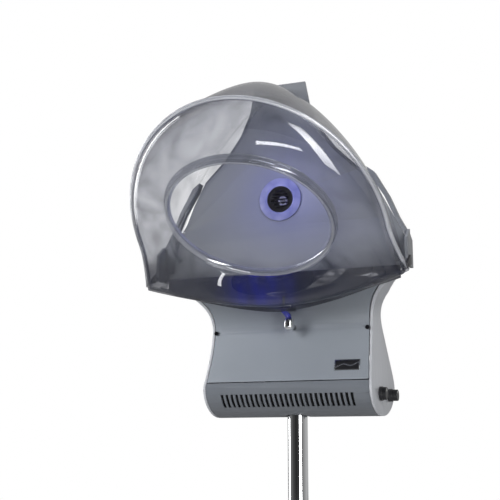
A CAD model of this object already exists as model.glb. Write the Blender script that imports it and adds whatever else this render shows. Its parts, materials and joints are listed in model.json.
"""Looks of a salon hood steamer on a castor stand, built around its fixed frame."""

import json
import logging
import math
from contextlib import contextmanager
from dataclasses import dataclass, field
from enum import Enum
from typing import Any, Callable, Iterator

import bmesh
import bpy
from mathutils import Matrix, Vector

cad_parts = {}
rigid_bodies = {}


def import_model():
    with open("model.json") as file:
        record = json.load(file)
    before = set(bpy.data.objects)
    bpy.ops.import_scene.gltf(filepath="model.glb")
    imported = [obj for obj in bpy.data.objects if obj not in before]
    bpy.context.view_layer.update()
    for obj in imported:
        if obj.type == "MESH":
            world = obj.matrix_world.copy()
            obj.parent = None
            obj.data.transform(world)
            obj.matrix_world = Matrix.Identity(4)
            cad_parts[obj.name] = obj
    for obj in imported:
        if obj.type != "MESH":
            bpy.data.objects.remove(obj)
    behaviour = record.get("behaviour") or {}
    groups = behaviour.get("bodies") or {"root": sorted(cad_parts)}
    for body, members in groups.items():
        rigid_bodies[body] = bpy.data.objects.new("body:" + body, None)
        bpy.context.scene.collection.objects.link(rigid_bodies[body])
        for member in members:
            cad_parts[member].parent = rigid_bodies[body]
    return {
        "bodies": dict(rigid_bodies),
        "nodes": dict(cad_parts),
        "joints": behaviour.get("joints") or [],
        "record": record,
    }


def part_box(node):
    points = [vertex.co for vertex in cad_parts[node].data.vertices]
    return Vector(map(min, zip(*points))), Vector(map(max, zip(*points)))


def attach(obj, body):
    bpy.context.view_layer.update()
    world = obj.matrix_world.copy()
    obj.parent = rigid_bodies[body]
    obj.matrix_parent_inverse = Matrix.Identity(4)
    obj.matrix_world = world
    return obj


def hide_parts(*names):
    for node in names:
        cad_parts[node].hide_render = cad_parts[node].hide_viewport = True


LOG = logging.getLogger("steamer")
MM = 0.001
FINISH_PREFIX = "finish_"
Colour = tuple[float, float, float]
Place = tuple[float, float, float]
Owner = bpy.types.Material | bpy.types.World
DARK: Colour = (0.0, 0.0, 0.0)
WHITE: Colour = (1.0, 1.0, 1.0)
SLANT = Vector((0, 1, 1)) / math.sqrt(2)


# ---- shader bench


class Wire:
    """A value in a node tree, on which Python's operators build Math nodes."""

    def __init__(self, bench: "Bench", socket: bpy.types.NodeSocket) -> None:
        """Wraps an output socket of a bench's tree."""
        self.bench = bench
        self.socket = socket

    def _math(self, operation: str, first: Any, second: Any) -> "Wire":
        """Adds one Math node.

        Args:
            operation: Name of the Math node's operation.
            first: Value or wire on its first input.
            second: Value or wire on its second input.

        Returns:
            The node's output.
        """
        return self.bench.add("ShaderNodeMath", {"operation": operation}, {0: first, 1: second})

    def __add__(self, other: Any) -> "Wire":
        """Sum."""
        return self._math("ADD", self, other)

    __radd__ = __add__

    def __mul__(self, other: Any) -> "Wire":
        """Product."""
        return self._math("MULTIPLY", self, other)

    __rmul__ = __mul__

    def __sub__(self, other: Any) -> "Wire":
        """Difference."""
        return self._math("SUBTRACT", self, other)

    def __rsub__(self, other: Any) -> "Wire":
        """Difference from a plain number."""
        return self._math("SUBTRACT", other, self)

    def __pow__(self, other: Any) -> "Wire":
        """Power."""
        return self._math("POWER", self, other)

    def __gt__(self, other: Any) -> "Wire":
        """1 where this is the larger one, and 0 elsewhere."""
        return self._math("GREATER_THAN", self, other)

    def __abs__(self) -> "Wire":
        """Size without its sign."""
        return self._math("ABSOLUTE", self, 0.0)


class Bench:
    """The node tree of a material or a world, with one method that adds any node to it."""

    def __init__(self, name: str, owner: Owner | None = None) -> None:
        """Empties the owner's tree, or that of a new material of that name."""
        self.owner = owner or bpy.data.materials.new(FINISH_PREFIX + name)
        self.owner.use_nodes = True
        self.tree = self.owner.node_tree
        self.tree.nodes.clear()

    def add(self, kind: str, settings: dict[str, Any], inputs: dict[Any, Any], output: Any = 0) -> Wire:
        """Adds a node.

        Args:
            kind: The node's type.
            settings: Its own properties, set first.
            inputs: Values or wires for its sockets, by name or number.
            output: Name or number of the output to hand back.

        Returns:
            That output.
        """
        node = self.tree.nodes.new(kind)
        for key, value in settings.items():
            setattr(node, key, value)
        for key, value in inputs.items():
            if isinstance(value, Wire):
                self.tree.links.new(value.socket, node.inputs[key])
            elif isinstance(value, tuple) and len(value) == 3 and node.inputs[key].type == "RGBA":
                node.inputs[key].default_value = (*value, 1.0)
            else:
                node.inputs[key].default_value = value
        return Wire(self, node.outputs[output]) if node.outputs else Wire(self, None)

    def place(self, scale: Place = (1, 1, 1), turn: Place = (0, 0, 0)) -> Wire:
        """Object coordinates, scaled and turned for a pattern."""
        at = self.add("ShaderNodeTexCoord", {}, {}, "Object")
        return self.add("ShaderNodeMapping", {}, {"Vector": at, "Scale": scale, "Rotation": turn})

    def part(self, at: Wire, axis: str) -> Wire:
        """One coordinate of a place."""
        return self.add("ShaderNodeSeparateXYZ", {}, {0: at}, axis)

    def clamped(self, first: Any, second: Any) -> Wire:
        """Product, held between 0 and 1."""
        return self.add("ShaderNodeMath", {"operation": "MULTIPLY", "use_clamp": True}, {0: first, 1: second})

    def mixed(self, factor: Wire, low: Wire, high: Wire) -> Wire:
        """Mix of two shaders."""
        return self.add("ShaderNodeMixShader", {}, {"Fac": factor, 1: low, 2: high})

    def noise(self, at: Wire, scale: float, detail: float = 3.0) -> Wire:
        """Noise from 0 to 1 whose grains are about 1 / scale metres wide."""
        return self.add("ShaderNodeTexNoise", {}, {"Vector": at, "Scale": scale, "Detail": detail}, "Fac")

    def blend(self, factor: Wire, low: Any, high: Any) -> Wire:
        """Colour between two others."""
        return self.add("ShaderNodeMix", {"data_type": "RGBA"}, {0: factor, 6: low, 7: high}, 2)

    def bump(self, height: Wire, depth: float, strength: float = 1.0) -> Wire:
        """Normals of a relief of that depth in metres."""
        return self.add("ShaderNodeBump", {}, {"Height": height, "Distance": depth, "Strength": strength})

    def skin(self, **inputs: Any) -> Wire:
        """A Principled shader; an underscore in a name stands for a space."""
        named = {key.replace("_", " "): value for key, value in inputs.items()}
        return self.add("ShaderNodeBsdfPrincipled", {}, named)

    def done(self, surface: Wire, output: str = "ShaderNodeOutputMaterial") -> Owner:
        """Puts a shader on the tree's output and hands its owner back."""
        self.add(output, {}, {"Surface": surface})
        return self.owner


# ---- finishes


def shade(colour: Colour, factor: float, lift: float = 0.0) -> Colour:
    """A darker or lighter shade of a colour."""
    return tuple(min(1.0, factor * c + lift) for c in colour)


@dataclass(frozen=True)
class Finish:
    """What every finish has: a name, and a way to make its material once."""

    name: str

    def build(self, bench: Bench) -> Wire:
        """Makes the shader."""
        raise NotImplementedError

    def material(self) -> bpy.types.Material:
        """The material, made the first time it is asked for."""
        known = bpy.data.materials.get(FINISH_PREFIX + self.name)
        if known:
            return known
        bench = Bench(self.name)
        return bench.done(self.build(bench))


@dataclass(frozen=True)
class SatinPaint(Finish):
    """Sprayed satin paint over moulded plastic: fine grain, faint cloudiness."""

    colour: Colour
    roughness: float = 0.42
    grain: float = 1400.0
    coat: float = 0.12

    def build(self, bench: Bench) -> Wire:
        """Makes the shader."""
        at = bench.place()
        grain = bench.noise(at, self.grain, 2.0)
        cloud = bench.noise(at, 7.0, 4.0)
        darker = shade(self.colour, 0.9)
        lighter = shade(self.colour, 1.1)
        return bench.skin(
            Base_Color=bench.blend(cloud, darker, lighter),
            Roughness=self.roughness + 0.10 * (grain - 0.5) + 0.08 * (cloud - 0.5),
            Coat_Weight=self.coat,
            Coat_Roughness=0.25,
            Normal=bench.bump(grain, 0.00006, 0.5),
        )


@dataclass(frozen=True)
class SilverPaint(Finish):
    """Silver paint with a vertical flow, as on the side panels."""

    colour: Colour

    def build(self, bench: Bench) -> Wire:
        """Makes the shader."""
        streaks = bench.noise(bench.place(scale=(260, 260, 7)), 1.0, 5.0)
        flakes = bench.noise(bench.place(), 2600.0, 1.0)
        darker = shade(self.colour, 0.82)
        lighter = shade(self.colour, 1.12)
        return bench.skin(
            Base_Color=bench.blend(streaks, darker, lighter),
            Metallic=0.25 + 0.25 * flakes,
            Roughness=0.30 + 0.16 * streaks,
            Normal=bench.bump(streaks * 0.6 + flakes * 0.4, 0.00005, 0.6),
        )


@dataclass(frozen=True)
class Metal(Finish):
    """Bare or plated metal, from mirror chrome to a brushed casting."""

    colour: Colour
    roughness: float = 0.08
    brush: Place = (40.0, 40.0, 40.0)
    depth: float = 0.00001
    spread: float = 0.08

    def build(self, bench: Bench) -> Wire:
        """Makes the shader."""
        marks = bench.noise(bench.place(scale=self.brush), 1.0, 6.0)
        smudge = bench.noise(bench.place(), 14.0, 3.0)
        darker = shade(self.colour, 0.88)
        return bench.skin(
            Base_Color=bench.blend(marks, darker, self.colour),
            Metallic=1.0,
            Roughness=self.roughness + self.spread * marks * smudge,
            Normal=bench.bump(marks, self.depth, 0.4),
        )


@dataclass(frozen=True)
class Moulded(Finish):
    """Moulded plastic or rubber with a spark-eroded texture."""

    colour: Colour
    roughness: float = 0.5
    texture: float = 900.0
    depth: float = 0.00012
    worn: float = 1.35

    def build(self, bench: Bench) -> Wire:
        """Makes the shader."""
        at = bench.place()
        texture = bench.noise(at, self.texture, 2.0)
        handled = bench.noise(at, 22.0, 4.0)
        rubbed = shade(self.colour, self.worn, 0.004)
        return bench.skin(
            Base_Color=bench.blend(handled, self.colour, rubbed),
            Roughness=self.roughness + 0.12 * (handled - 0.5),
            Normal=bench.bump(texture, self.depth, 0.6),
        )


@dataclass(frozen=True)
class ClearShell(Finish):
    """Clear tinted plastic whose wall mirrors more the flatter it is seen.

    Attributes:
        tint: Colour of what is seen through one wall.
        haze: Share of the wall's own colour, seen straight on.
        haze_colour: The wall's own colour.
        mirror: Share that it mirrors, seen straight on.
        rim: What its own colour gains, seen edge on.
        glow: Colour of a light that it carries.
        glow_strength: That light's strength.
        glow_at: That light's place in metres.
        glow_reach: How far from there the light ends.
        swirl: Strength of curled streaks of its own colour.
        sink_below: Height in metres below which it darkens.
        sink: How much it darkens there.
    """

    tint: Colour
    haze: float
    haze_colour: Colour
    mirror: float = 0.05
    rim: float = 0.75
    glow: Colour = DARK
    glow_strength: float = 0.0
    glow_at: Place = (0.0, 0.0, 0.0)
    glow_reach: float = 0.1
    swirl: float = 0.0
    sink_below: float = 0.0
    sink: float = 0.0

    def build(self, bench: Bench) -> Wire:
        """Makes the shader."""
        at = bench.place()
        flow = bench.noise(at, 9.0)
        edge = bench.add("ShaderNodeLayerWeight", {}, {"Blend": 0.5}, "Facing")
        smear = bench.noise(bench.place(scale=(1, 1, 0.3)), 60.0, 4.0)
        through = bench.add("ShaderNodeBsdfTransparent", {}, {"Color": self.tint})
        own = bench.skin(
            Base_Color=self.haze_colour,
            Roughness=0.25 + 0.2 * smear,
            Specular_IOR_Level=0.15,
            Emission_Color=self._glow(bench, at, smear),
            Emission_Strength=self.glow_strength,
        )
        polish = bench.add("ShaderNodeBsdfGlossy", {}, {
            "Color": WHITE,
            "Roughness": 0.03,
            "Normal": bench.bump(flow, 0.0008, 0.25),
        })
        cloudy = self.haze * (0.7 + 0.6 * flow) + self.rim * edge ** 3.5 + self._streaks(bench, at)
        wall = bench.mixed(cloudy, through, own)
        return bench.mixed(self.mirror + (0.9 - self.mirror) * edge ** 5.0, wall, polish)

    def _glow(self, bench: Bench, at: Wire, smear: Wire) -> Wire:
        """Colour of the light that it carries, which fades with the distance from its place."""
        gap = bench.add("ShaderNodeVectorMath", {"operation": "DISTANCE"}, {0: at, 1: self.glow_at}, "Value")
        near = bench.clamped((self.glow_reach - gap) * (1.6 / self.glow_reach), smear)
        return bench.blend(near ** 1.6, DARK, self.glow)

    def _streaks(self, bench: Bench, at: Wire) -> Wire:
        """Share of its own colour in the curled streaks and in its low part."""
        curls = bench.add("ShaderNodeTexNoise", {},
                          {"Vector": at, "Scale": 6.5, "Detail": 2.0, "Distortion": 1.8}, "Fac")
        depth = bench.clamped(self.sink_below - bench.part(at, "Z"), 8.0)
        return self.swirl * curls ** 5.0 + self.sink * depth * curls


@dataclass(frozen=True)
class GlowLens(Finish):
    """Diffusing lens with light-emitting diodes behind it."""

    colour: Colour
    strength: float

    def build(self, bench: Bench) -> Wire:
        """Makes the shader."""
        cells = bench.add("ShaderNodeTexVoronoi", {}, {"Vector": bench.place(), "Scale": 55.0}, "Distance")
        pale = shade(self.colour, 0.85, 0.15)
        spotted = bench.blend(cells, pale, self.colour)
        return bench.skin(
            Base_Color=spotted,
            Roughness=0.35,
            Emission_Color=spotted,
            Emission_Strength=self.strength,
        )


@dataclass(frozen=True)
class BadgePlate(Finish):
    """Black gloss plate with a plain silver border and one wavy stripe."""

    half: tuple[float, float]
    centre: Vector
    tilt: float
    margin: float = 0.0016

    def build(self, bench: Bench) -> Wire:
        """Makes the shader."""
        at = bench.add("ShaderNodeTexCoord", {}, {}, "Object")
        offset = tuple(-c for c in self.centre)
        moved = bench.add("ShaderNodeMapping", {}, {"Vector": at, "Location": offset})
        flat = bench.add("ShaderNodeMapping", {}, {"Vector": moved, "Rotation": (self.tilt, 0.0, 0.0)})
        across, up = bench.part(flat, "X"), bench.part(flat, "Z")
        border = (abs(across) > self.half[0] - self.margin) + (abs(up) > self.half[1] - self.margin)
        wave = bench.add("ShaderNodeMath", {"operation": "SINE"}, {0: across * 220.0})
        stripe = 1.0 - (abs(up + wave * 0.0022 - across * 0.12) > 0.0011)
        mark = bench.add("ShaderNodeMath", {"operation": "MINIMUM"}, {0: border + stripe, 1: 1.0})
        return bench.skin(
            Base_Color=bench.blend(mark, (0.010, 0.010, 0.012), (0.72, 0.74, 0.78)),
            Metallic=mark,
            Roughness=0.14 + 0.1 * mark,
            Coat_Weight=0.6,
            Coat_Roughness=0.05,
        )


@dataclass(frozen=True)
class CircuitBoard(Finish):
    """Green board with pale tracks."""

    def build(self, bench: Bench) -> Wire:
        """Makes the shader."""
        tracks = bench.add("ShaderNodeTexBrick", {}, {
            "Vector": bench.place(turn=(math.radians(90), 0, 0)),
            "Color1": (0.010, 0.075, 0.030), "Color2": (0.014, 0.100, 0.040), "Mortar": (0.20, 0.26, 0.10),
            "Scale": 90.0, "Mortar Size": 0.03,
        }, "Color")
        return bench.skin(Base_Color=tracks, Roughness=0.35, Coat_Weight=0.3)


POLISHED_CASTING = Metal("polished_casting", (0.80, 0.81, 0.83), 0.16, (30, 30, 30), 0.00004, 0.22)
CHROME = Metal("chrome_tube", (0.93, 0.94, 0.95), 0.03, (60, 60, 4), 0.000004, 0.05)
BRIGHT_STEEL = Metal("bright_steel", (0.78, 0.79, 0.81), 0.10)
PLATED_STEEL = Metal("plated_steel", (0.55, 0.56, 0.58), 0.30, (500, 20, 20), 0.00002, 0.2)
DARK_STEEL = Metal("dark_steel", (0.16, 0.16, 0.18), 0.34, (20, 500, 20), 0.00002, 0.2)
HEATED_STEEL = Metal("heated_steel", (0.42, 0.28, 0.18), 0.36, (80, 80, 80), 0.00003, 0.2)
BLACK_SCREW = Metal("black_screw", (0.05, 0.05, 0.06), 0.38)
BLACK_MOULDED = Moulded("black_moulded", (0.018, 0.018, 0.021), 0.42)
BLACK_KNOB = Moulded("black_knob", (0.010, 0.010, 0.012), 0.30, 600.0, 0.00005)
IVORY = Moulded("ivory_moulded", (0.62, 0.59, 0.50), 0.45)
NYLON = Moulded("white_nylon", (0.75, 0.75, 0.72), 0.40, 500.0, 0.00005, 1.05)
SILICONE = Moulded("silicone_hose", (0.66, 0.66, 0.63), 0.35, 300.0, 0.00005, 1.1)
TYRE = Moulded("castor_tyre", (0.030, 0.030, 0.033), 0.68, 700.0, 0.00015)
ROCKER_RED = Moulded("rocker_red", (0.50, 0.015, 0.012), 0.25, 500.0, 0.00003, 1.2)
FILTER_FOAM = Moulded("filter_foam", (0.008, 0.008, 0.009), 0.9, 350.0, 0.0008)
MARK_WHITE = Moulded("mark_white", (0.80, 0.80, 0.78), 0.5, 800.0, 0.00003, 1.05)
COVER_PAINT = SatinPaint("cover_paint", (0.200, 0.220, 0.248))
NOSE_PAINT = SatinPaint("nose_paint", (0.125, 0.137, 0.155), 0.38)
SHIELD_PAINT = SatinPaint("shield_paint", (0.180, 0.190, 0.205), 0.36)
PANEL_SILVER = SilverPaint("panel_silver", (0.58, 0.595, 0.63))
SMOKED = ClearShell("smoked_clear", (0.95, 0.954, 0.968), 0.02, (0.024, 0.027, 0.042),
                    swirl=1.7, sink_below=1.17, sink=1.5)
SMOKED_DARK = ClearShell("smoked_dark", (0.20, 0.24, 0.45), 0.90, (0.006, 0.009, 0.034), 0.06, 0.2,
                         glow=(0.02, 0.03, 1.0), glow_strength=0.8, glow_at=(-0.045, -0.06, 1.075),
                         glow_reach=0.11)
ROLL_CLEAR = ClearShell("roll_clear", (0.80, 0.81, 0.84), 0.16, (0.36, 0.38, 0.43), 0.22, 0.6, swirl=1.2)
LIP_CLEAR = ClearShell("lip_clear", (0.70, 0.71, 0.74), 0.62, (0.80, 0.82, 0.88), 0.30, 0.2)
TANK_CLEAR = ClearShell("tank_plastic", (0.93, 0.96, 0.98), 0.04, (0.45, 0.55, 0.60), 0.05, 0.25)
BLUE_LENS = GlowLens("blue_lens", (0.11, 0.12, 0.22), 0.03)
BOARD = CircuitBoard("circuit_board")


# ---- workshop


class Way(Enum):
    """Direction that a turned piece's axis points."""

    X = (0.0, math.pi / 2, 0.0)
    Y = (-math.pi / 2, 0.0, 0.0)
    Z = (0.0, 0.0, 0.0)


def pick(piece: bpy.types.Object) -> None:
    """Makes one piece the only selected and the active one."""
    for other in bpy.context.selected_objects:
        other.select_set(False)
    piece.select_set(True)
    bpy.context.view_layer.objects.active = piece


def clear() -> None:
    """Deselects everything before a new piece is added."""
    for other in bpy.context.selected_objects:
        other.select_set(False)


@contextmanager
def edit(piece: bpy.types.Object) -> Iterator[bmesh.types.BMesh]:
    """Opens a piece in edit mode with nothing selected, and closes it again."""
    pick(piece)
    bpy.ops.object.mode_set(mode="EDIT")
    bpy.ops.mesh.select_mode(type="FACE")
    bpy.ops.mesh.select_all(action="DESELECT")
    yield bmesh.from_edit_mesh(piece.data)
    bpy.ops.object.mode_set(mode="OBJECT")


def choose(piece: bpy.types.Object, mesh: bmesh.types.BMesh,
           test: Callable[[bmesh.types.BMFace], bool]) -> None:
    """Selects the faces that pass a test, and no others."""
    for face in mesh.faces:
        face.select_set(test(face))
    bmesh.update_edit_mesh(piece.data)


def modify(piece: bpy.types.Object, kind: str, **settings: Any) -> None:
    """Adds a modifier with those settings and applies it."""
    pick(piece)
    modifier = piece.modifiers.new(kind.lower(), kind)
    for key, value in settings.items():
        setattr(modifier, key, value)
    bpy.ops.object.modifier_apply(modifier=modifier.name)


def step(inset: float, move: Place) -> None:
    """Insets the chosen faces and moves what is left of them, both in millimetres."""
    bpy.ops.mesh.inset(thickness=inset * MM)
    bpy.ops.mesh.extrude_region_move(TRANSFORM_OT_translate={"value": tuple(c * MM for c in move)})


def new_object(name: str, data: Any) -> bpy.types.Object:
    """Adds an object with that data to the scene."""
    made = bpy.data.objects.new(name, data)
    bpy.context.collection.objects.link(made)
    return made


def soften(piece: bpy.types.Object, width: float, angle: float = 40.0, segments: int = 2) -> None:
    """Rounds a piece's sharp edges by that width in millimetres."""
    modify(piece, "BEVEL", width=width * MM, segments=segments, limit_method="ANGLE",
           angle_limit=math.radians(angle), harden_normals=False)


def smooth(piece: bpy.types.Object, angle: float = 35.0) -> None:
    """Shades a piece smoothly except across edges sharper than that."""
    pick(piece)
    bpy.ops.object.shade_smooth_by_angle(angle=math.radians(angle))


def settle(piece: bpy.types.Object) -> None:
    """Puts a piece's place into its mesh, with its object at the origin."""
    pick(piece)
    bpy.ops.object.transform_apply(location=True, rotation=True, scale=True)


def drum(radius: float, depth: float, centre: Vector, way: Way, sides: int = 48) -> bpy.types.Object:
    """Adds a cylinder.

    Args:
        radius: Radius in metres.
        depth: Length along its axis.
        centre: Its middle.
        way: Direction of its axis.
        sides: Faces round it.

    Returns:
        The piece, still a plain primitive to be shaped.
    """
    clear()
    bpy.ops.mesh.primitive_cylinder_add(vertices=sides, radius=radius, depth=depth, location=centre,
                                        rotation=way.value)
    piece = bpy.context.active_object
    settle(piece)
    return piece


def block(size: Place, centre: Vector) -> bpy.types.Object:
    """Adds a box of that size at that place."""
    clear()
    bpy.ops.mesh.primitive_cube_add(size=1.0, location=centre, scale=size)
    piece = bpy.context.active_object
    settle(piece)
    return piece


def sheet(across: int, along: int, lay: Callable[[float, float], Vector],
          wrap: bool = False) -> bpy.types.Object:
    """Adds a grid and lays it on a surface.

    Args:
        across: Steps along the first parameter.
        along: Steps along the second parameter.
        lay: Gives the place for two parameters from 0 to 1.
        wrap: True if the surface meets itself after the first parameter's whole run.

    Returns:
        The piece, one face thick.
    """
    clear()
    bpy.ops.mesh.primitive_grid_add(x_subdivisions=across, y_subdivisions=along, size=1.0)
    piece = bpy.context.active_object
    for vertex in piece.data.vertices:
        vertex.co = lay(vertex.co.x + 0.5, vertex.co.y + 0.5)
    if wrap:
        with edit(piece):
            bpy.ops.mesh.select_all(action="SELECT")
            bpy.ops.mesh.remove_doubles(threshold=0.05 * MM)
    return piece


def face_away(piece: bpy.types.Object, middle: Vector) -> None:
    """Turns an open sheet's faces away from a point inside it."""
    lean = sum((p.normal.dot(p.center - middle) * p.area for p in piece.data.polygons), 0.0)
    if lean < 0:
        with edit(piece):
            bpy.ops.mesh.select_all(action="SELECT")
            bpy.ops.mesh.flip_normals()


def middle_of(low: Any, high: Any) -> Vector:
    """Middle of a box."""
    return (Vector(low) + Vector(high)) / 2


def joined(name: str, parts: list[bpy.types.Object]) -> bpy.types.Object:
    """Joins pieces into the first of them."""
    clear()
    for part in parts:
        part.select_set(True)
    bpy.context.view_layer.objects.active = parts[0]
    if len(parts) > 1:
        bpy.ops.object.join()
    parts[0].name = name
    return parts[0]


def moved_copy(source: bpy.types.Object, name: str, matrix: Matrix) -> bpy.types.Object:
    """Copies a piece with its own mesh, moved by a matrix."""
    piece = source.copy()
    piece.data = source.data.copy()
    piece.name = name
    bpy.context.collection.objects.link(piece)
    piece.data.transform(matrix)
    return piece


@dataclass
class Frame:
    """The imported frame, with the places that the looks are worked out from."""

    loaded: dict[str, Any]
    axis_y: float = field(init=False)
    floor_h: float = field(init=False)

    def __post_init__(self) -> None:
        """Finds the column's axis and the housing's underside."""
        low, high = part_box("mast_tube")
        self.axis_y = (low[1] + high[1]) / 2
        self.floor_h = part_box("nose_shell")[0][2]

    def head(self, x: float, y: float, h: float) -> Vector:
        """A place in the housing, in millimetres from the column's axis and the housing's underside."""
        return Vector((x * MM, y * MM + self.axis_y, h * MM + self.floor_h))

    def stand(self, x: float, y: float, z: float) -> Vector:
        """A place in the stand, in millimetres from the column's axis and the floor."""
        return Vector((x * MM, y * MM + self.axis_y, z * MM))

    def body_of(self, node: str) -> str:
        """The body that a node belongs to."""
        for body, nodes in self.loaded["record"]["behaviour"]["bodies"].items():
            if node in nodes:
                return body
        raise KeyError(node)

    def slot_of(self, node: str) -> str:
        """The record's material slot of a node."""
        for row in self.loaded["record"]["subparts"]:
            if row["node"] == node:
                return row["material_slot"]
        raise KeyError(node)

    def repaint(self, node: str, finish: Finish) -> None:
        """Gives a node that keeps its own mesh a finish."""
        mesh = self.loaded["nodes"][node].data
        mesh.materials.clear()
        mesh.materials.append(finish.material())
        LOG.info("node %s: %s", node, finish.name)

    def stand_for(self, piece: bpy.types.Object, node: str, finish: Finish | None) -> None:
        """Lets a finished piece take a node's place, on its body and with its slot."""
        self.add(piece, self.body_of(node), self.slot_of(node), finish)
        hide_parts(node)

    def add(self, piece: bpy.types.Object, body: str, slot: str, finish: Finish | None) -> None:
        """Lets a finished piece ride on a body."""
        if finish:
            piece.data.materials.clear()
            piece.data.materials.append(finish.material())
        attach(piece, body)
        LOG.info("piece %s on %s: %d faces", piece.name, body, len(piece.data.polygons))

    def refine(self, node: str, finish: Finish, bevel: float = 0.0, angle: float = 32.0) -> bpy.types.Object:
        """Copies a node, merges its loose triangles, rounds its edges and lets the copy stand for it.

        Args:
            node: The node's name.
            finish: Its finish.
            bevel: Width of the rounding of its edges, in millimetres.
            angle: Edges flatter than this many degrees are shaded smoothly.

        Returns:
            The copy.
        """
        source = self.loaded["nodes"][node]
        piece = new_object(f"{node}_skin", source.data.copy())
        with edit(piece):
            bpy.ops.mesh.select_all(action="SELECT")
            bpy.ops.mesh.remove_doubles(threshold=0.004 * MM)
            if bevel:
                bpy.ops.mesh.dissolve_limited(angle_limit=math.radians(0.5))
        if bevel:
            soften(piece, bevel, 34.0)
        smooth(piece, angle)
        self.stand_for(piece, node, finish)
        return piece

    def refine_all(self, *rows: tuple[Any, ...]) -> None:
        """Refines several nodes; each row holds what refine takes."""
        for row in rows:
            self.refine(*row)


# ---- studio


@dataclass
class Studio:
    """Camera, lights, backdrop and floor."""

    frame: Frame
    lens: float = 72.0
    azimuth: float = 21.0
    rise: float = 11.3
    viewpoint: Place = (554.5, -1675.4, -56.0)
    floor_r: float = 14.0
    floor_drop: float = 0.5

    def build(self) -> None:
        """Sets up all of it."""
        self._camera()
        self._world()
        self._floor()
        self._softbox("key", (-1.3, -1.7, 1.55), (0.9, 1.0), 17.0, mirrored=False)
        self._softbox("top", (-0.25, 0.2, 2.75), (1.6, 1.2), 11.0, mirrored=False)
        self._softbox("left_strip", (-1.5, 0.1, 1.6), (0.25, 2.0), 5.0)
        self._softbox("right_strip", (1.2, -1.15, 1.25), (0.34, 2.2), 8.0)
        self._softbox("low_front", (0.55, -1.9, 0.35), (0.9, 0.18), 1.6)
        self._glow()
        bpy.context.scene.view_settings.view_transform = "Standard"
        bpy.context.scene.cycles.transparent_max_bounces = 32

    def _camera(self) -> None:
        """Puts the camera low in front, a little to the right, looking up."""
        data = bpy.data.cameras.new("camera")
        data.lens = self.lens
        data.clip_start = 0.05
        camera = new_object("camera", data)
        camera.location = self.frame.head(*self.viewpoint)
        camera.rotation_euler = (math.radians(90 + self.rise), 0.0, math.radians(self.azimuth))
        bpy.context.scene.camera = camera

    def _world(self) -> None:
        """White behind the object, and a room that is bright at the sides and dark in front."""
        world = bpy.data.worlds.new("studio")
        bpy.context.scene.world = world
        bench = Bench("studio", world)
        back = bench.part(bench.add("ShaderNodeTexCoord", {}, {}, "Generated"), "Y")
        strength = bench.add("ShaderNodeMapRange", {}, {
            "Value": back, "From Min": -1.0, "From Max": 0.6, "To Min": 0.03, "To Max": 0.55})
        room = bench.add("ShaderNodeBackground", {}, {"Strength": strength})
        white = bench.add("ShaderNodeBackground", {}, {"Color": WHITE})
        seen = bench.add("ShaderNodeLightPath", {}, {}, "Is Camera Ray")
        bench.done(bench.mixed(seen, room, white), "ShaderNodeOutputWorld")

    def _floor(self) -> None:
        """Lays a plain pale floor, which the camera sees brighter than the object does."""
        clear()
        bpy.ops.mesh.primitive_circle_add(vertices=96, radius=self.floor_r, fill_type="NGON",
                                          location=(0.0, 0.0, -self.floor_drop * MM))
        floor = bpy.context.active_object
        floor.name = "floor"
        settle(floor)
        bench = Bench("pale_floor")
        mottle = bench.noise(bench.place(), 3.0)
        tone = bench.blend(mottle, (0.50, 0.50, 0.505), (0.53, 0.53, 0.535))
        plain = bench.skin(Base_Color=tone, Roughness=0.8)
        lifted = bench.skin(Base_Color=tone, Roughness=0.8, Emission_Color=WHITE, Emission_Strength=0.55)
        seen = bench.add("ShaderNodeLightPath", {}, {}, "Is Camera Ray")
        floor.data.materials.append(bench.done(bench.mixed(seen, plain, lifted)))

    def _glow(self) -> None:
        """Adds the blue light that the ring of diodes throws into the hood."""
        data = bpy.data.lights.new("ring_glow", "POINT")
        data.color = (0.22, 0.24, 1.0)
        data.energy = 0.5
        data.shadow_soft_size = 0.07
        glow = new_object("ring_glow", data)
        glow.visible_glossy = False
        glow.location = self.frame.head(15.0, -165.0, 385.0)

    def _softbox(self, name: str, at: Place, size: tuple[float, float], power: float,
                 mirrored: bool = True) -> None:
        """Adds a soft light aimed at the hood.

        Args:
            name: Its name.
            at: Its place in metres.
            size: Its width and height.
            power: Its power in watts.
            mirrored: False if it lights without showing in glossy surfaces.
        """
        data = bpy.data.lights.new(name, "AREA")
        data.shape = "RECTANGLE"
        data.size, data.size_y = size
        data.energy = power
        data.spread = math.radians(110)
        light = new_object(name, data)
        light.location = at
        light.visible_glossy = mirrored
        aim = self.frame.head(0, -100, 240) - light.location
        light.rotation_euler = aim.to_track_quat("-Z", "Y").to_euler()


# ---- hood


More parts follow.
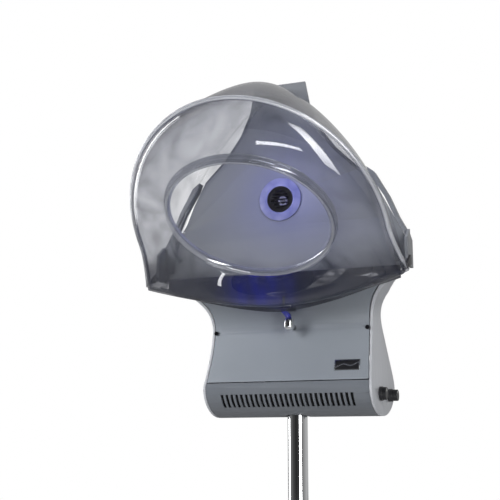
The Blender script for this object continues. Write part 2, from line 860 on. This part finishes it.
@dataclass
class Hood:
    """Clear hood: dome behind, funnel with the round opening in front, gutter below."""

    frame: Frame
    wall: float = 3.0
    lip: float = 6.0
    corner: float = 28.0
    opening_r: float = 137.0
    roll_r: float = 7.5
    bead_r: float = 3.4
    rows: int = 26
    half_w: float = 210.0
    spring: float = 60.0
    arch: float = 242.0
    flange_y: float = -150.0
    flange_h: float = 244.0
    rim_w: float = 212.0
    rim_y: float = -87.0
    rim_h: float = 240.0
    rim_arch: float = 330.0
    mouth_at: Place = (0.0, -238.0, 295.0)

    def build(self) -> None:
        """Makes and dresses all of it."""
        self._dome()
        self._funnel()
        self._mouth_roll()
        self._edge_bead()
        self.frame.refine_all(
            ("hood_back_panel", SMOKED, 0.6), ("hood_gutter", SMOKED_DARK, 0.0, 40.0),
            ("drain_spout", SMOKED_DARK, 0.0, 40.0), ("hood_clips", BLACK_MOULDED, 0.4))

    def _on_flange(self, x: float, v: float) -> Vector:
        """A place in the slanted plane where the two shells meet."""
        return Vector((x, self.flange_y - v / math.sqrt(2), self.flange_h + v / math.sqrt(2)))

    def _corner(self, a: float) -> tuple[float, float]:
        """How far down a lower corner angle a is, from 0 to 1, and on which side."""
        low = -a / self.corner if a < 0 else (a - 180) / self.corner if a > 180 else 0.0
        return low, -1.0 if a > 90 else 1.0

    def _flange(self, a: float) -> tuple[Vector, Vector]:
        """The contour at angle a from the right corner over the top, and its outward direction."""
        low, side = self._corner(a)
        if low > 0:
            return (self._on_flange(side * (self.half_w + 16 * low ** 1.5), self.spring - 88 * low),
                    Vector((side, 0, 0)))
        c, s = math.cos(math.radians(a)), math.sin(math.radians(a))
        lean = self.half_w * s / math.sqrt(2)
        out = Vector((self.arch * c, -lean, lean)).normalized()
        return self._on_flange(self.half_w * c, self.spring + self.arch * s), out

    def _rim(self, a: float) -> tuple[Vector, Vector]:
        """The dome's rear rim at angle a, and its outward direction."""
        low, side = self._corner(a)
        if low > 0:
            return (Vector((side * (self.rim_w + 2 * low), self.rim_y, self.rim_h - 14 * low)),
                    Vector((side, 0, 0)))
        c, s = math.cos(math.radians(a)), max(0.0, math.sin(math.radians(a)))
        rim = Vector((side * self.rim_w * abs(c) ** 1.6, self.rim_y, self.rim_h + self.rim_arch * s ** 1.176))
        return rim, Vector((c, 0, s))

    def _in_place(self, point: Vector) -> Vector:
        """A hood place in millimetres, brought into the frame."""
        return self.frame.head(point.x, point.y, point.z)

    def _finish_shell(self, piece: bpy.types.Object, node: str, middle: Vector) -> None:
        """Gives an open sheet its wall and rounded lips, and lets it stand for a node."""
        face_away(piece, self._in_place(middle))
        modify(piece, "SOLIDIFY", thickness=(self.wall - 0.1) * MM, offset=-1.0, use_even_offset=True)
        soften(piece, 0.9, 50.0)
        smooth(piece, 45.0)
        self.frame.stand_for(piece, node, SMOKED)

    def _dome(self) -> None:
        """Lays the dome from its lip over the crown to the shield."""

        def lay(u: float, w: float) -> Vector:
            """Place for the share u round the contour and w from the lip to the rim."""
            a = -self.corner + u * (180 + 2 * self.corner)
            edge, out = self._flange(a)
            rim, rim_out = self._rim(a)
            edge = edge + (self.wall + 0.05) * SLANT
            row = round(w * self.rows)
            if row == 0:
                return self._in_place(edge + self.lip * out)
            t = (row - 1) / (self.rows - 1)
            bulge = 1 + 18 * max(0.0, math.sin(math.radians(a))) ** 3
            middle = (edge + rim) / 2 + 2 * bulge * (out + rim_out + Vector((0, 0, 0.3))).normalized()
            return self._in_place((1 - t) ** 2 * edge + 2 * t * (1 - t) * middle + t ** 2 * rim)

        piece = sheet(150, self.rows, lay)
        piece.name = "dome_shell"
        self._finish_shell(piece, "hood_dome", Vector((0, -160, 330)))

    def _funnel_edge(self, th: float) -> tuple[Vector, Vector, Vector]:
        """The funnel's outer contour at angle th, its outward direction and its plane's normal."""
        if 180 + self.corner < th < 360 - self.corner:
            k = (th - 270) / (90 - self.corner)
            lift = 178 + 46 * abs(k) ** 1.4
            turn = math.radians(90 * k)
            out = Vector((math.sin(turn), 0, -math.cos(turn)))
            return Vector((226 * k, -92 - 38.2 * k * k, lift)), out, Vector((0, 1, abs(k))).normalized()
        edge, out = self._flange(th - 360 if th > 270 else th)
        return edge, out, SLANT

    def _mouth(self, th: float, grow: float = 0.0, back: float = 0.0) -> Vector:
        """A place on the round opening, made wider or set back by some millimetres."""
        down = Vector((0, -0.875, 0.485))
        axis = Vector((1, 0, 0)).cross(down)
        turn = math.radians(th)
        spoke = math.cos(turn) * Vector((1, 0, 0)) + math.sin(turn) * down
        return Vector(self.mouth_at) + (self.opening_r + grow) * spoke - back * axis

    def _funnel(self) -> None:
        """Lays the funnel from its lip to the round opening."""

        def lay(u: float, w: float) -> Vector:
            """Place for the share u round the contour and w from the lip to the opening."""
            th = 360 * u
            edge, out, normal = self._funnel_edge(th % 360)
            edge = edge - self.wall * normal
            row = round(w * self.rows)
            if row == 0:
                return self._in_place(edge + self.lip * out)
            t = (row - 1) / (self.rows - 1)
            middle = edge - (45 - self.wall) * normal
            return self._in_place((1 - t) ** 2 * edge + 2 * t * (1 - t) * middle + t ** 2 * self._mouth(th))

        piece = sheet(180, self.rows, lay, wrap=True)
        piece.name = "funnel_shell"
        self._finish_shell(piece, "hood_visor", Vector((0, -130, 290)))

    def _mouth_roll(self) -> None:
        """Rolls the opening's edge inwards into a rounded rim."""
        turns = (0, 35, 70, 105, 140, 175, 210)

        def lay(u: float, w: float) -> Vector:
            """Place for the share u round the opening and w along the roll."""
            turn = math.radians(turns[round(w * (len(turns) - 1))])
            return self._in_place(self._mouth(360 * u, -self.roll_r * math.sin(turn) - 0.5,
                                              self.roll_r * (1 - math.cos(turn)) + 0.5))

        roll = sheet(140, len(turns) - 1, lay, wrap=True)
        roll.name = "mouth_roll"
        modify(roll, "SOLIDIFY", thickness=2.4 * MM, offset=0.0, use_even_offset=True)
        modify(roll, "SUBSURF", levels=1, render_levels=1)
        smooth(roll, 60.0)
        self.frame.add(roll, "hood", "smoke_clear", ROLL_CLEAR)

    def _edge_bead(self) -> None:
        """Rounds the two shells' lips off together with one clear bead."""

        def lay(u: float, w: float) -> Vector:
            """Place for the share u round the bead and w along the lips, with pointed ends."""
            edge, out = self._flange(-self.corner + w * (180 + 2 * self.corner))
            turn = math.tau * u
            radius = self.bead_r * min(1.0, 40 * w, 40 * (1 - w))
            return self._in_place(edge + (self.lip - self.bead_r) * out
                                  + radius * (math.cos(turn) * out + math.sin(turn) * SLANT))

        bead = sheet(12, 160, lay, wrap=True)
        bead.name = "edge_bead"
        face_away(bead, self._in_place(Vector((0, -150, 300))))
        smooth(bead, 60.0)
        self.frame.add(bead, "hood", "smoke_clear", LIP_CLEAR)


# ---- housing


@dataclass
class Housing:
    """Grey housing, shield and tower, with what is inside them."""

    frame: Frame
    seam: float = 0.9

    def build(self) -> None:
        """Dresses the panels and the parts behind them."""
        f = self.frame
        f.refine_all(("side_panel_left", PANEL_SILVER, 0.5), ("side_panel_right", PANEL_SILVER, 0.5))
        self._open_seam(f.refine("front_cover", COVER_PAINT, 0.4))
        f.refine_all(
            ("nose_shell", NOSE_PAINT, 0.0, 25.0), ("back_cover", COVER_PAINT, 0.4),
            ("shield", SHIELD_PAINT, 0.6), ("spine_cover", COVER_PAINT, 0.5),
            ("cover_screws", BLACK_SCREW), ("back_screws", BLACK_SCREW),
            ("shield_rivets", BRIGHT_STEEL, 0.0, 50.0), ("light_ring", BLUE_LENS, 0.5),
            ("steam_outlet", DARK_STEEL, 0.3), ("drain_cup", BRIGHT_STEEL, 0.3),
            ("drain_spigot", PLATED_STEEL, 0.3), ("power_inlet", BLACK_MOULDED, 0.4),
            ("power_rocker", ROCKER_RED, 0.5), ("tank_cradle", BLACK_MOULDED, 0.5),
            ("water_tank", TANK_CLEAR, 0.8, 40.0), ("steam_hose", SILICONE, 0.0, 50.0))
        for node, finish in (
                ("chassis", PLATED_STEEL), ("boiler", POLISHED_CASTING), ("heater", HEATED_STEEL),
                ("light_board", BOARD), ("control_board", BOARD), ("timer_module", IVORY),
                ("heat_switch", IVORY), ("fan_frame", BLACK_MOULDED), ("fan_rotor", BLACK_MOULDED),
                ("tilt_yoke", DARK_STEEL), ("tilt_pin", PLATED_STEEL), ("pin_clips", DARK_STEEL),
                ("mast_spindle", DARK_STEEL)):
            f.repaint(node, finish)
        self._badge()
        self._filter()

    def _open_seam(self, cover: bpy.types.Object) -> None:
        """Draws a cover in from its neighbours, so that the seam round it shows as a dark line."""
        low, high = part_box("front_cover")
        middle = middle_of(low, high)
        half = Vector(high) - middle
        draw_in = Matrix.Diagonal((1 - self.seam * MM / half.x, 1.0, 1 - self.seam * MM / half.z, 1.0))
        cover.data.transform(Matrix.Translation(middle) @ draw_in @ Matrix.Translation(-middle))

    def _filter(self) -> None:
        """Lays a black filter mat inside the nose, behind its slots."""

        def lay(u: float, w: float) -> Vector:
            """Place for the share u across the nose and w up its curve."""
            turn = math.radians(14 + 70 * w)
            return self.frame.head(270 * (u - 0.5), 5 - 67 * math.sin(turn), 50 - 44 * math.cos(turn))

        mat = sheet(60, 14, lay)
        face_away(mat, self.frame.head(0, 5, 50))
        modify(mat, "SOLIDIFY", thickness=2 * MM, offset=-1.0)
        soften(mat, 0.5)
        smooth(mat)
        mat.name = "filter_mat"
        self.frame.add(mat, "head", "black_plastic", FILTER_FOAM)

    def _badge(self) -> None:
        """Makes the plain plate low on the right of the cover."""
        finish = BadgePlate("badge_plate", (0.0215, 0.0095), middle_of(*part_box("badge")), math.radians(21.5))
        self.frame.refine("badge", finish, 0.25)


@dataclass
class Controls:
    """Knobs on the right side, with their scales, and the tank's cap."""

    frame: Frame
    knob_h: float = 37.0
    panel_x: float = 150.0
    knob_gap: float = 0.6
    knob_sides: int = 64

    def build(self) -> None:
        """Makes both knobs and their scales."""
        self._knob("timer_knob", 12.0, 12.0, -10.0)
        self._knob("heat_knob", 11.0, 17.0, 52.0)
        self._scale("timer_scale", 12.0, -10.0, 13)
        self._scale("heat_scale", 11.0, 52.0, 10)
        self._cap()

    def _on_panel(self, out: float, y: float, up: float = 0.0) -> Vector:
        """A place that many millimetres out from a knob's foot and up from its axis."""
        return self.frame.head(self.panel_x + self.knob_gap + out, y, self.knob_h + up)

    def _knob(self, node: str, radius: float, length: float, y: float) -> None:
        """Turns a skirted knob with a fluted grip, a recessed cap and a pointer."""
        skirt = drum(radius * MM, 0.38 * length * MM,
                     self._on_panel(0.19 * length, y), Way.X, self.knob_sides)
        with edit(skirt) as mesh:
            choose(skirt, mesh, lambda face: face.normal.x > 0.9)
            for inset, out in ((1.2, 0.56 * length), (1.6, -0.8), (0.7, 0.5)):
                step(inset, (out, 0, 0))
        self._flute(skirt, radius, length, y)
        soften(skirt, 0.3, 40.0)
        smooth(skirt, 30.0)
        skirt.data.materials.append(BLACK_KNOB.material())
        pointer = block((0.3 * MM, 1.2 * MM, 0.55 * radius * MM),
                        self._on_panel(0.94 * length, y, 0.55 * radius))
        soften(pointer, 0.1)
        pointer.data.materials.append(MARK_WHITE.material())
        self.frame.stand_for(joined(f"{node}_turned", [skirt, pointer]), node, None)

    def _flute(self, knob: bpy.types.Object, radius: float, length: float, y: float) -> None:
        """Presses grip flutes into every third face of the grip."""
        start = self.panel_x + self.knob_gap + 0.45 * length
        axis = self.frame.head(0, y, self.knob_h)

        def in_flute(face: bmesh.types.BMFace) -> bool:
            """True for every third face round the grip."""
            place = face.calc_center_median()
            inner = place.x < start * MM or (place - axis).yz.length < (radius - 2.2) * MM
            if inner or abs(face.normal.x) > 0.1:
                return False
            turn = math.atan2(place.z - axis.z, place.y - axis.y)
            return int((turn + math.pi) / math.tau * self.knob_sides) % 3 == 0

        with edit(knob) as mesh:
            choose(knob, mesh, in_flute)
            bpy.ops.mesh.extrude_region_shrink_fatten(TRANSFORM_OT_shrink_fatten={"value": -0.6 * MM})

    def _scale(self, name: str, radius: float, y: float, marks: int) -> None:
        """Prints a ring of plain marks round a knob."""
        parts = []
        for k in range(marks):
            turn = math.radians(-150 + 300 * k / (marks - 1))
            reach, long = (radius + 4.2, 2.6) if k % 3 == 0 else (radius + 3.6, 1.4)
            mark = block((0.12 * MM, 0.5 * MM, long * MM), Vector((0, 0, reach * MM)))
            soften(mark, 0.04)
            mark.data.transform(Matrix.Translation(self.frame.head(self.panel_x + 0.02, y, self.knob_h))
                                @ Matrix.Rotation(turn, 4, "X"))
            parts.append(mark)
        self.frame.add(joined(name, parts), "head", "white_nylon", MARK_WHITE)

    def _cap(self) -> None:
        """Turns the tank's ribbed cap."""
        low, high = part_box("tank_cap")
        centre = middle_of(low, high)
        radius, height = (high[0] - low[0]) / 2, high[2] - low[2]
        cap = drum(radius, height, centre, Way.Z, 72)
        with edit(cap) as mesh:
            choose(cap, mesh, lambda face: face.normal.z > 0.9)
            step(2.4, (0, 0, -1.2))
            side = sorted(face.index for face in mesh.faces if abs(face.normal.z) < 0.1
                          and (face.calc_center_median() - centre).xy.length > radius * 0.95)
            grooves = set(side[::2])
            choose(cap, mesh, lambda face: face.index in grooves)
            bpy.ops.mesh.extrude_region_shrink_fatten(TRANSFORM_OT_shrink_fatten={"value": -0.5 * MM})
            choose(cap, mesh, lambda face: face.normal.z < -0.9)
            step(2.6, (0, 0, 0.75 * height / MM))
        soften(cap, 0.25)
        smooth(cap)
        cap.name = "tank_cap_turned"
        self.frame.stand_for(cap, "tank_cap", BLACK_KNOB)


# ---- stand


@dataclass
class Stand:
    """Column, clamp, star base and castors."""

    frame: Frame
    legs: int = 5
    leg_reach: float = 290.0
    trail: float = 20.0
    wheel_r: float = 25.0
    trail_angles: tuple[float, ...] = (90.0, 20.0, 70.0, 110.0, 160.0)

    def build(self) -> None:
        """Makes and dresses all of it."""
        self.frame.refine_all(
            ("mast_tube", CHROME, 0.0, 30.0), ("column_tube", CHROME, 0.0, 30.0),
            ("star_base", POLISHED_CASTING, 1.2), ("base_cap", BLACK_MOULDED),
            ("clamp_collar", BLACK_MOULDED, 0.5), ("column_bush", NYLON, 0.3))
        self.frame.repaint("mast_foot_bush", NYLON)
        self._clamp_knob()
        self._castors()

    def _clamp_knob(self) -> None:
        """Turns a lobed clamp knob on its screw."""
        low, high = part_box("clamp_knob")
        h = (low[2] + high[2]) / 2 / MM
        grip = drum(19 * MM, 18 * MM, self.frame.stand(0, 48, h), Way.Y, 72)
        for vertex in grip.data.vertices:
            spoke = Vector((vertex.co.x, 0, vertex.co.z - h * MM))
            lobe = 1 - 0.14 * (0.5 + 0.5 * math.cos(6 * math.atan2(spoke.z, spoke.x))) ** 1.5
            vertex.co = Vector((spoke.x * lobe, vertex.co.y, h * MM + spoke.z * lobe))
        with edit(grip) as mesh:
            choose(grip, mesh, lambda face: face.normal.y > 0.9)
            step(4, (0, -2, 0))
        soften(grip, 2.0, 50.0, 3)
        smooth(grip)
        grip.data.materials.append(BLACK_KNOB.material())
        screw = drum(3.98 * MM, 17 * MM, self.frame.stand(0, 32, h), Way.Y, 32)
        soften(screw, 0.5)
        smooth(screw)
        screw.data.materials.append(PLATED_STEEL.material())
        self.frame.stand_for(joined("clamp_knob_turned", [grip, screw]), "clamp_knob", None)

    def _wheel_pair(self) -> bpy.types.Object:
        """Models one pair of wheels on its axle along Y, at the origin."""
        parts = []
        for side in (-1, 1):
            wheel = drum(self.wheel_r * MM, 11 * MM, Vector((0, side * 12 * MM, 0)), Way.Y, 48)
            with edit(wheel) as mesh:
                choose(wheel, mesh, lambda face, s=side: face.normal.y * s > 0.9)
                step(4.5, (0, -side * 2.0, 0))
                step(9, (0, side * 3.2, 0))
            soften(wheel, 1.3, 40.0, 3)
            wheel.data.materials.append(TYRE.material())
            wheel.data.materials.append(BLACK_MOULDED.material())
            for face in wheel.data.polygons:
                if math.hypot(face.center.x, face.center.z) < (self.wheel_r - 4.2) * MM:
                    face.material_index = 1
            smooth(wheel)
            parts.append(wheel)
        axle = drum(4 * MM, 20 * MM, Vector((0, 0, 0)), Way.Y, 24)
        soften(axle, 0.4)
        axle.data.materials.append(PLATED_STEEL.material())
        return joined("wheel_pair", parts + [axle])

    def _castors(self) -> None:
        """Copies the wheels to the five castors."""
        pair = self._wheel_pair()
        for k in range(self.legs):
            self.frame.refine(f"castor_fork_{k + 1}", BLACK_MOULDED, 0.5)
            leg = math.radians(-90 + 360 * k / self.legs)
            trail = math.radians(self.trail_angles[k])
            x = self.leg_reach * math.cos(leg) + self.trail * math.cos(trail)
            y = self.leg_reach * math.sin(leg) + self.trail * math.sin(trail)
            place = Matrix.Translation(self.frame.stand(x, y, self.wheel_r)) @ Matrix.Rotation(trail, 4, "Z")
            wheels = moved_copy(pair, f"castor_wheels_{k + 1}_turned", place)
            self.frame.stand_for(wheels, f"castor_wheels_{k + 1}", None)
        bpy.data.objects.remove(pair)


def main() -> None:
    """Builds the studio and every sub-assembly around the frame."""
    logging.basicConfig(level=logging.INFO, format="%(name)s: %(message)s")
    frame = Frame(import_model())
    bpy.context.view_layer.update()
    Studio(frame).build()
    for part in (Hood, Housing, Controls, Stand):
        LOG.info("%s", part.__name__)
        part(frame).build()


if __name__ == "__main__":
    main()
